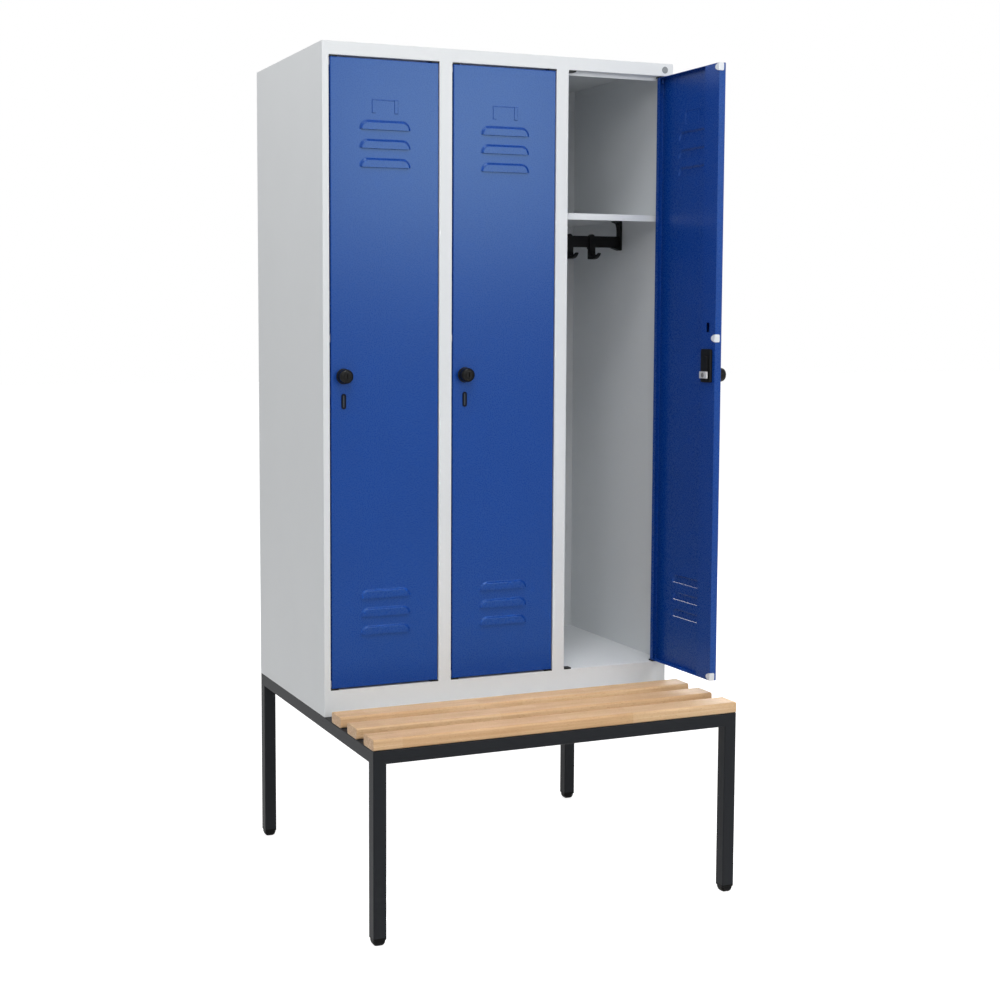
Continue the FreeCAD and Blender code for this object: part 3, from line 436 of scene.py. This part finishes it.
def slotted(bm, rim, face_y, wide, tall, deep):
    """Close a round rim on the latch's axis with a flat face that has an upright slot in it."""
    _, slot = loop_of(bm, upright(LOCK_X - wide / 2, LOCK_X + wide / 2,
                                  LOCK_Z - tall / 2, LOCK_Z + tall / 2, face_y))
    bmesh.ops.triangle_fill(bm, use_beauty=True, use_dissolve=False, edges=rim + slot, normal=FORWARD)
    verts, bottom = drawn_on(bm, slot)
    bmesh.ops.translate(bm, vec=(0, deep, 0), verts=verts)
    bmesh.ops.contextual_create(bm, geom=bottom)


def swell(share):
    """The height of a rolled wall, from 0 to 1, at a share of its width."""
    return share * share * (3 - 2 * share)


def louvre(bm, low):
    """A pressed hood with quarter-round ends, open along its lower edge; returns the edges of its hole."""
    half, height, end = LOUVRE_HALF + HOLE_GROWTH, LOUVRE_HEIGHT + HOLE_GROWTH, LOUVRE_END + HOLE_GROWTH

    def quarter(start, x):
        made = bmesh.ops.spin(bm, geom=[start], cent=(x, DOOR_FRONT, low), axis=BACK, angle=math.pi / 2, steps=8)
        return made["geom_last"][0]

    first = bm.verts.new((DOOR_MIDDLE - half, DOOR_FRONT, low))
    top_left = quarter(first, DOOR_MIDDLE - half + end)
    top_right = bmesh.ops.extrude_vert_indiv(bm, verts=[top_left])["verts"][0]
    bmesh.ops.translate(bm, vec=(2 * (half - end), 0, 0), verts=[top_right])
    last = quarter(top_right, DOOR_MIDDLE + half - end)
    walk, chain = [first], []
    while walk[-1] is not last:
        edge = next(e for e in walk[-1].link_edges if e not in chain)
        chain.append(edge)
        walk.append(edge.other_vert(walk[-1]))
    bmesh.ops.scale(bm, vec=(1, 1, height / end), space=about(z=low), verts=walk)
    hole = chain + [bm.edges.new((first, last))]
    steps = [(LOUVRE_WALL * index / 6, LOUVRE_PROUD * swell(index / 6)) for index in range(7)]
    # A narrow flat rim keeps the crown's flat face clear of the rounded wall.
    steps.append((LOUVRE_WALL + LOUVRE_RIM, LOUVRE_PROUD))
    proud = 0.0
    for inset, rise in steps:
        verts, chain = drawn_on(bm, chain)
        wide, tall = LOUVRE_HALF - inset, LOUVRE_HEIGHT - inset
        bmesh.ops.scale(bm, vec=(wide / half, 1, tall / height), space=about(x=DOOR_MIDDLE, z=low), verts=verts)
        bmesh.ops.translate(bm, vec=(0, proud - rise, 0), verts=verts)
        half, height, proud = wide, tall, rise
    ends = [v for v in verts if sum(e in chain for e in v.link_edges) == 1]
    # The hood's lip hangs a little below the cut that it was pressed from.
    bmesh.ops.translate(bm, vec=(0, 0, -LOUVRE_LIP), verts=ends)
    bmesh.ops.contextual_create(bm, geom=chain + [bm.edges.new(ends)])
    return hole


def pressed(bm, left, right, low, top, walls, height):
    """A rectangle pressed out of the door's face, with a wall width for its left, right, low and top side.

    Returns the edges of the hole."""
    _, hole = loop_of(bm, upright(left, right, low, top, DOOR_FRONT))
    edges = hole
    pivot = about(x=left + (right - left) * walls[0] / (walls[0] + walls[1]),
                  z=low + (top - low) * walls[2] / (walls[2] + walls[3]))
    wide, tall, proud = right - left, top - low, 0.0
    for index in range(1, 5):
        share = index / 4
        verts, edges = drawn_on(bm, edges)
        narrow = right - left - (walls[0] + walls[1]) * share
        short = top - low - (walls[2] + walls[3]) * share
        rise = height * swell(share)
        bmesh.ops.scale(bm, vec=(narrow / wide, 1, short / tall), space=pivot, verts=verts)
        bmesh.ops.translate(bm, vec=(0, proud - rise, 0), verts=verts)
        wide, tall, proud = narrow, short, rise
    bmesh.ops.contextual_create(bm, geom=edges)
    return hole


def card_holder(bm):
    """Two pressed strips, steep where a card slides in, and a faint bead along the card's top.

    Returns the edges of their holes."""
    hole = []
    for side in (-1, 1):
        outer = DOOR_MIDDLE + side * CARD_HALF
        inner = outer - side * CARD_TAB
        across = (CARD_WALL, CARD_STEEP) if side < 0 else (CARD_STEEP, CARD_WALL)
        hole += pressed(bm, min(outer, inner), max(outer, inner), CARD_LOW, CARD_TOP,
                        across + (CARD_WALL, CARD_WALL), CARD_PROUD)
    reach = CARD_HALF - CARD_TAB - 0.5 * MM
    hole += pressed(bm, DOOR_MIDDLE - reach, DOOR_MIDDLE + reach, BEAD_LOW, BEAD_TOP, [BEAD_WALL] * 4, BEAD_PROUD)
    return hole


def door_skin(number):
    """The door's pan: one sheet with rolled edges, louvres and the strips of the card holder."""
    bm = bmesh.new()
    left, right = DOOR_LEFT + DOOR_ROUND, DOOR_RIGHT - DOOR_ROUND
    low, top = DOOR_LOW + DOOR_ROUND, DOOR_TOP - DOOR_ROUND
    _, rim = loop_of(bm, upright(left, right, low, top, DOOR_FRONT))
    outline = list(rim)
    for louvre_low in LOUVRE_LOWS:
        outline += louvre(bm, louvre_low)
    outline += card_holder(bm)
    bmesh.ops.triangle_fill(bm, use_beauty=True, use_dissolve=False, edges=outline, normal=FORWARD)
    # The edge rolls back in five steps, and then runs straight to the door's back.
    turns = [math.radians(a) for a in (18, 36, 54, 72, 90)]
    path = [(math.sin(a) * DOOR_ROUND, (1 - math.cos(a)) * DOOR_ROUND) for a in turns]
    wide, tall, depth = right - left, top - low, DOOR_FRONT
    for out, back in path + [(DOOR_ROUND, DOOR_BACK - DOOR_FRONT)]:
        verts, rim = drawn_on(bm, rim)
        wider, taller = right - left + 2 * out, top - low + 2 * out
        bmesh.ops.scale(bm, vec=(wider / wide, 1, taller / tall),
                        space=about(x=DOOR_MIDDLE, z=(low + top) / 2), verts=verts)
        bmesh.ops.translate(bm, vec=(0, DOOR_FRONT + back - depth, 0), verts=verts)
        wide, tall, depth = wider, taller, DOOR_FRONT + back
    lip, _ = drawn_on(bm, past(rim, X, DOOR_RIGHT - MM))
    bmesh.ops.translate(bm, vec=(-HINGE_LIP, 0, 0), verts=lip)
    bmesh.ops.recalc_face_normals(bm, faces=bm.faces)
    if max(bm.faces, key=lambda f: f.calc_area()).normal.y > 0:
        bmesh.ops.reverse_faces(bm, faces=bm.faces)
    hang(bm, number)
    give(bm, f"door_pan_{number}", [blue_coat], f"door_{number}", [f"door_skin_{number}"],
         smooth=30, thickness=SHEET)


def lock_housing(number):
    """The latch's moulded parts on the door: the case inside, the rose round the knob, and a slot cover."""
    bm = bmesh.new()
    case = outlined(bm, upright(LOCK_X - CASE_HALF, LOCK_X + CASE_HALF, CASE_LOW, CASE_TOP, DOOR_BACK),
                    [2.5, 2.5, 5, 5], BACK, CASE_DEEP)
    soften(bm, past(sharp_edges(case), Y, DOOR_BACK + MM), 1.2 * MM)
    turned(bm, ROSE, (LOCK_X, 0, LOCK_Z), FORWARD, 64)
    cover = outlined(bm, upright(LOCK_X - COVER_HALF, LOCK_X + COVER_HALF,
                                 COVER_Z - COVER_TALL, COVER_Z + COVER_TALL, DOOR_FRONT),
                     [5.4] * 4, FORWARD, COVER_PROUD)
    for face in faces_of(cover):
        face.material_index = 2
    # The middle of the cover is a sunk steel shutter.
    shutter = [f for f in faces_of(cover) if f.normal.y < -0.9]
    bmesh.ops.inset_region(bm, faces=shutter, thickness=COVER_RIM)
    bmesh.ops.translate(bm, vec=(0, COVER_SUNK, 0), verts=list({v for f in shutter for v in f.verts}))
    for face in shutter:
        face.material_index = 1
    soften(bm, past(sharp_edges(cover), Y, DOOR_FRONT - MM, -1), 0.4 * MM, 2)
    hang(bm, number)
    give(bm, f"latch_case_and_rose_{number}", [black_nylon, dull_steel, cover_plastic], f"door_{number}",
         [f"lock_housing_{number}"])


def lock_knob(number):
    """The turning knob: a domed cap with a lock plug and an upright keyway."""
    bm = bmesh.new()
    knob = turned(bm, KNOB, (LOCK_X, 0, LOCK_Z), FORWARD, 64)
    slotted(bm, [e for e in edges_of(knob) if e.is_boundary], -KNOB_FACE, *KEYWAY)
    bmesh.ops.recalc_face_normals(bm, faces=bm.faces)
    hang(bm, number)
    give(bm, f"turning_knob_{number}", [knob_plastic], f"lock_{number}",
         [f"lock_knob_{number}"])


def lock_cam(number):
    """The cam behind the door: a black arm with a bright square nut and its slotted screw."""
    bm = bmesh.new()
    arm = outlined(bm, upright(LOCK_X - ARM_HALF, LOCK_X + ARM_HALF, ARM_LOW, ARM_TOP, ARM_FRONT),
                   [3, 3, 8, 8], BACK, ARM_THICK)
    soften(bm, sharp_edges(arm), 0.5 * MM, 2)
    hang(bm, number)
    give(bm, f"cam_arm_{number}", [black_nylon], f"lock_{number}", [f"lock_cam_{number}"])
    bm = bmesh.new()
    nut = block(bm, (LOCK_X - NUT_HALF, NUT_FRONT, LOCK_Z - NUT_TALL),
                (LOCK_X + NUT_HALF, NUT_BACK, LOCK_Z + NUT_TALL))
    soften(bm, edges_of(nut), 0.8 * MM)
    screw = turned(bm, SCREW, (LOCK_X, 0, LOCK_Z), BACK, 32)
    rim = past([e for e in edges_of(screw) if e.is_boundary], Y, SCREW_FACE - NEAR)
    slotted(bm, rim, SCREW_FACE, *SCREW_SLOT)
    for face in bm.faces:
        face.material_index = 1 if face.calc_center_median().y > NUT_BACK + NEAR else 0
    bmesh.ops.recalc_face_normals(bm, faces=bm.faces)
    hang(bm, number)
    give(bm, f"cam_nut_{number}", [zinc_casting, screw_steel], f"lock_{number}",
         [f"lock_cam_{number}"])


def door_bumpers(number):
    """Moulded buffers clipped over the door's free edge: a rounded pad behind and a leg on the edge."""
    bm = bmesh.new()
    edge = DOOR_LEFT - MM
    shoulder, inner, slope, leg_back = edge + 5 * MM, DOOR_LEFT + 15 * MM, 5.5 * MM, DOOR_BACK + 0.5 * MM
    for low in BUMPER_LOWS:
        top = low + BUMPER_TALL
        pad = outlined(bm, [(edge, DOOR_BACK, low), (shoulder, DOOR_BACK, low), (inner, DOOR_BACK, low + slope),
                            (inner, DOOR_BACK, top - slope), (shoulder, DOOR_BACK, top), (edge, DOOR_BACK, top)],
                       [0.8, 6, 3.2, 3.2, 6, 0.8], BACK, 1.7 * MM)
        soften(bm, past(sharp_edges(pad), Y, DOOR_BACK + MM), 0.7 * MM)
        leg = outlined(bm, [(edge, 0, low), (edge, leg_back, low), (edge, leg_back, top), (edge, 0, top)],
                       [3, 0, 0, 3], RIGHT, MM)
        soften(bm, past(sharp_edges(leg), X, edge + NEAR, -1), 0.4 * MM, 2)
    hang(bm, number)
    give(bm, f"edge_buffers_{number}", [white_nylon], f"door_{number}",
         [f"door_bumpers_{number}"])


def coat_rail(number):
    """A flat bar on edge with its corners broken."""
    bm = bmesh.new()
    shape = block(bm, *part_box(f"coat_rail_{number}"))
    soften(bm, along_axis(edges_of(shape), X), 1.0 * MM)
    give(bm, f"flat_coat_rail_{number}", [black_nylon], "carcass", [f"coat_rail_{number}"])


def coat_hook(number, place):
    """A hook that slides on the rail: a domed sleeve, a stem, and an arm that curls up to a thin tip."""
    bm = bmesh.new()
    x = sum(WALLS[number]) / 2 + HOOK_STEP[place]
    side = [(x - HOOK_HALF, y * MM, z * MM) for y, z in HOOK_SIDE]
    shape = outlined(bm, side, HOOK_ROUNDING, RIGHT, 2 * HOOK_HALF)
    # The arm narrows towards its tip.
    for vert in shape:
        reach = min(max((SLEEVE_FRONT - vert.co.y) / ARM_REACH, 0.0), 1.0)
        vert.co.x = x + (vert.co.x - x) * (1 - ARM_THINNING * reach ** 0.6)
    soften(bm, [e for e in sharp_edges(bm.verts) if any(v.co.z < SLEEVE_SHARP for v in e.verts)], 0.9 * MM, 2)
    # Cuts along the sleeve let its top be bent to a dome.
    for step in range(-3, 4):
        cut(bm, (x + step * 2 * MM, 0, 0), RIGHT)
    for vert in bm.verts:
        rise = max(vert.co.z - DOME_LOW, 0.0)
        arch = math.sqrt(max(1 - ((vert.co.x - x) / DOME_RADIUS) ** 2, 0.0))
        vert.co.z -= DOME_DEPTH * rise * (1 - arch)
    give(bm, f"sliding_hook_{number}_{place}", [black_nylon], f"hook_{number}_{place}",
         [f"hook_{number}_{place}"])


def rail_brackets():
    """Moulded ends of the coat rails: flared under the shelf, with a gusset under the rail."""
    bm = bmesh.new()
    for number in NUMBERS:
        for wall, way in zip(WALLS[number], (1, -1)):
            points = [(wall + way * u * MM, RAIL_Y - BRACKET_HALF, z * MM) for u, z in BRACKET_SIDE]
            shape = outlined(bm, points, BRACKET_ROUNDING, BACK, 2 * BRACKET_HALF)
            soften(bm, sharp_edges(shape), 0.7 * MM, 2)
    give(bm, "flared_rail_brackets", [black_nylon], "carcass", ["rail_brackets"])


def slat(name, low, high):
    """A planed slat with rounded edges; its cut ends show end grain."""
    bm = bmesh.new()
    verts = block(bm, low, high)
    soften(bm, along_axis(edges_of(verts), X), 5.0 * MM, 6)
    ends = [e for e in bm.edges if len(e.link_faces) == 2 and e.calc_face_angle() > 1.2
            and abs(e.link_faces[0].normal.x) + abs(e.link_faces[1].normal.x) > 0.9]
    soften(bm, ends, 1.5 * MM)
    for face in bm.faces:
        face.material_index = 1 if abs(face.normal.x) > 0.8 else 0
    give(bm, name, [beech, beech_end], "carcass", [name.replace("beech_", "")])


def folded_front(node):
    """A sheet piece of the cabinet's front, as in the CAD but with the bend's radius round the door openings."""
    bm = from_cad(node)
    bmesh.ops.dissolve_limit(bm, angle_limit=math.radians(1), verts=bm.verts, edges=bm.edges)
    # Two cuts at each end of a bend let it run out in half a millimetre, just short of the corner.
    low, high = SILL + BEND_CORNER, HEAD - BEND_CORNER
    for z in (low - BEND_RUN, low, high, high + BEND_RUN):
        cut(bm, (0, 0, z), UP)
    for left, right in SPANS:
        for x in (left, left + BEND_RUN, right - BEND_RUN, right):
            cut(bm, (x, 0, 0), RIGHT)
    bends = []
    for edge in sharp_edges(bm.verts, 80):
        middle = (edge.verts[0].co + edge.verts[1].co) / 2
        beside = low < middle.z < high
        above = abs(middle.z - HEAD) < NEAR and any(a + BEND_RUN < middle.x < b - BEND_RUN for a, b in SPANS)
        if edge.is_convex and all(abs(v.co.y - FRONT) < NEAR for v in edge.verts) and (beside or above):
            bends.append(edge)
    soften(bm, bends, BEND, 4)
    sheet = give(bm, "folded_" + node, [grey_coat], "carcass", [node]).data
    # Shading stops where a bend has run out, so that the flat faces beyond it stay flat to the corner.
    stops = [(Z, low - BEND_RUN), (Z, high + BEND_RUN)]
    if node == "top_rail":
        stops += [(X, x) for span in SPANS for x in span]
    for edge in sheet.edges:
        ends = [sheet.vertices[i].co for i in edge.vertices]
        if any(all(abs(end[axis] - stop) < EXACT for end in ends) for axis, stop in stops):
            edge.use_edge_sharp = True


def welded_rail(node, axis):
    """A frame tube that runs on over the legs' rounded edges, where the weld is ground flush and painted over."""
    bm = from_cad(node)
    reach = max(v.co[axis] for v in bm.verts)
    for hand in (-1, 1):
        shift = [0, 0, 0]
        shift[axis] = hand * WELD_REACH
        bmesh.ops.translate(bm, vec=shift, verts=[v for v in bm.verts if hand * v.co[axis] > reach - EXACT])
    give(bm, "welded_" + node, [tube_coat], "carcass", [node])


def foot_caps():
    """Moulded caps pushed into the legs: a collar as wide as the tube, and below a small step a rounded pad."""
    bm = bmesh.new()
    for x, y in [(-FOOT_X, -FOOT_Y), (-FOOT_X, FOOT_Y), (FOOT_X, -FOOT_Y), (FOOT_X, FOOT_Y)]:
        collar = outlined(bm, level(x, y, COLLAR_HALF, COLLAR_LOW), [2.5] * 4, UP, COLLAR_TOP - COLLAR_LOW)
        soften(bm, past(edges_of(collar), Z, COLLAR_LOW + NEAR, -1), 2 * MM)
        pad = outlined(bm, level(x, y, PAD_HALF, COLLAR_LOW), [7] * 4, UP, 1 * MM)
        under = next(f for f in faces_of(pad) if f.normal.z < -0.9)
        rim, half, height = list(under.edges), PAD_HALF, COLLAR_LOW
        bmesh.ops.delete(bm, geom=[under], context="FACES_ONLY")
        # The pad draws in to its flat foot along a quarter of an ellipse.
        for step in range(1, PAD_STEPS + 1):
            turn = math.radians(90 * step / PAD_STEPS)
            narrow = PAD_FLAT + (PAD_HALF - PAD_FLAT) * math.cos(turn)
            low = COLLAR_LOW * (1 - math.sin(turn))
            verts, rim = drawn_on(bm, rim)
            bmesh.ops.scale(bm, vec=(narrow / half, narrow / half, 1), space=about(x, y), verts=verts)
            bmesh.ops.translate(bm, vec=(0, 0, low - height), verts=verts)
            half, height = narrow, low
        bmesh.ops.contextual_create(bm, geom=rim)
    bmesh.ops.recalc_face_normals(bm, faces=bm.faces)
    give(bm, "rounded_foot_caps", [foot_plastic], "carcass", ["foot_caps"])


def plain_disc():
    """A small plain disc pressed on the top rail's right end."""
    bm = bmesh.new()
    profile = [(0, -0.2), (8.0, -0.2), (8.0, 0.6), (7.6, 1.0), (6.9, 1.1), (6.5, 0.8), (0, 0.9)]
    turned(bm, profile, DISC_PLACE, FORWARD, 48)
    give(bm, "plain_disc", [disc_plastic], "carcass")


for number in NUMBERS:
    door_skin(number)
    lock_housing(number)
    lock_knob(number)
    lock_cam(number)
    door_bumpers(number)
    coat_rail(number)
    for place in HOOK_STEP:
        coat_hook(number, place)
for name in ("slat_front", "slat_middle", "slat_rear"):
    slat("beech_" + name, *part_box(name))
for node in ("left_side_panel", "right_side_panel", "left_partition", "right_partition", "top_rail", "bottom_rail"):
    folded_front(node)
for node, axis in (("front", X), ("middle", X), ("rear", X), ("left", Y), ("right", Y)):
    welded_rail("frame_rail_" + node, axis)
rail_brackets()
foot_caps()
plain_disc()

# The CAD nodes that stay take the finish of their material slot.
finishes = {"body_grey": grey_coat, "door_blue": blue_coat, "frame_black": tube_coat, "beech": beech,
            "black_plastic": black_nylon, "white_plastic": white_nylon, "bright_steel": bright_steel}
for part in frame["record"]["subparts"]:
    mesh = frame["nodes"][part["node"]].data
    mesh.materials.clear()
    mesh.materials.append(finishes[part["material_slot"]])
# The hinge pins are painted with the doors, not plated.
frame["nodes"]["hinge_pins"].data.materials[0] = blue_coat


def seen_rays(tree):
    """1 for rays that show a thing to the eye, straight or mirrored, and 0 for those that only light."""
    rays = add(tree, "ShaderNodeLightPath").outputs
    straight = add(tree, "ShaderNodeMath", {0: rays["Is Camera Ray"], 1: rays["Is Transmission Ray"]},
                   operation="MAXIMUM")
    either = add(tree, "ShaderNodeMath", {0: straight.outputs["Value"], 1: rays["Is Glossy Ray"]},
                 operation="MAXIMUM")
    return either.outputs["Value"]


# A white floor that keeps the object's shadow, just below the feet.
FLOOR_HALF, FLOOR_DROP, FLOOR_GLOW = 30, 0.5 * MM, 0.8
bm = bmesh.new()
bmesh.ops.create_grid(bm, x_segments=1, y_segments=1, size=FLOOR_HALF)
floor_mesh = bpy.data.meshes.new("studio_floor")
bm.to_mesh(floor_mesh)
bm.free()
floor = bpy.data.objects.new("studio_floor", floor_mesh)
floor.location.z = -FLOOR_DROP
bpy.context.scene.collection.objects.link(floor)
floor_paint, tree, _ = new_material("white studio floor")
lift = add(tree, "ShaderNodeMath", {0: seen_rays(tree), 1: FLOOR_GLOW}, operation="MULTIPLY")
matt = add(tree, "ShaderNodeBsdfDiffuse", {"Color": linear("#DCDCDC")})
glow = add(tree, "ShaderNodeEmission", {"Color": linear("#FFFFFF"), "Strength": lift.outputs["Value"]})
both = add(tree, "ShaderNodeAddShader", {0: matt.outputs["BSDF"], 1: glow.outputs["Emission"]})
add(tree, "ShaderNodeOutputMaterial", {"Surface": both.outputs["Shader"]})
floor_mesh.materials.append(floor_paint)

# A surround that is white to the eye and lights the object less than it shows.
SKY_LIGHT = 0.345
world = bpy.data.worlds.new("studio")
world.use_nodes = True
tree = world.node_tree
tree.nodes.clear()
strength = ranged(tree, seen_rays(tree), SKY_LIGHT, 1.0)
sky = add(tree, "ShaderNodeBackground", {"Color": linear("#FFFFFF"), "Strength": strength})
add(tree, "ShaderNodeOutputWorld", {"Surface": sky.outputs["Background"]})
bpy.context.scene.world = world


def softbox(name, place, aim, size, power, spread=180):
    """A rectangular lamp that the camera doesn't see, at a place and turned to a point."""
    light = bpy.data.lights.new(name, "AREA")
    light.shape = "RECTANGLE"
    light.size, light.size_y = size
    light.energy = power
    light.spread = math.radians(spread)
    lamp = bpy.data.objects.new(name, light)
    lamp.location = place
    lamp.visible_camera = False
    lamp.rotation_euler = (Vector(aim) - Vector(place)).to_track_quat("-Z", "Y").to_euler()
    bpy.context.scene.collection.objects.link(lamp)


# Each lamp's place, the point it is turned to, its size in metres and its power in watts.
softbox("high window", (1.65, -4.2, 2.4), (0.0, 0.0, 1.6), (1.8, 1.3), 50)
softbox("front light", (-2.5, -4.2, 3.2), (0.1, 0.0, 1.0), (2.4, 2.0), 47)
softbox("overhead", (-0.6, -1.9, 4.4), (0.1, -0.4, 0.4), (2.0, 1.4), 48)
softbox("bench light", (0.0, -0.95, 4.5), (0.0, -0.29, 0.43), (1.0, 0.3), 0.8, spread=18)
softbox("left fill", (-1.7, 0.1, 3.1), (-0.45, 0.1, 1.8), (1.2, 1.2), 11)
softbox("back fill", (2.5, 4.0, 2.8), (0.0, 0.2, 1.0), (2.5, 2.5), 65)

# The photograph's camera, fitted to the cabinet's corners; it looks a little down and to the right.
EYE, LOOK_DOWN, LOOK_RIGHT = (-1.6127, -3.4601, 1.3281), 4.638, 21.833
camera = bpy.data.cameras.new("camera")
camera.lens = 56.89
camera.sensor_width = 36.0
camera.shift_x, camera.shift_y = 0.10, -0.05
eye = bpy.data.objects.new("camera", camera)
eye.location = EYE
eye.rotation_euler = (math.radians(90 - LOOK_DOWN), 0, math.radians(-LOOK_RIGHT))
bpy.context.scene.collection.objects.link(eye)
bpy.context.scene.camera = eye
bpy.context.scene.view_settings.view_transform = "Standard"
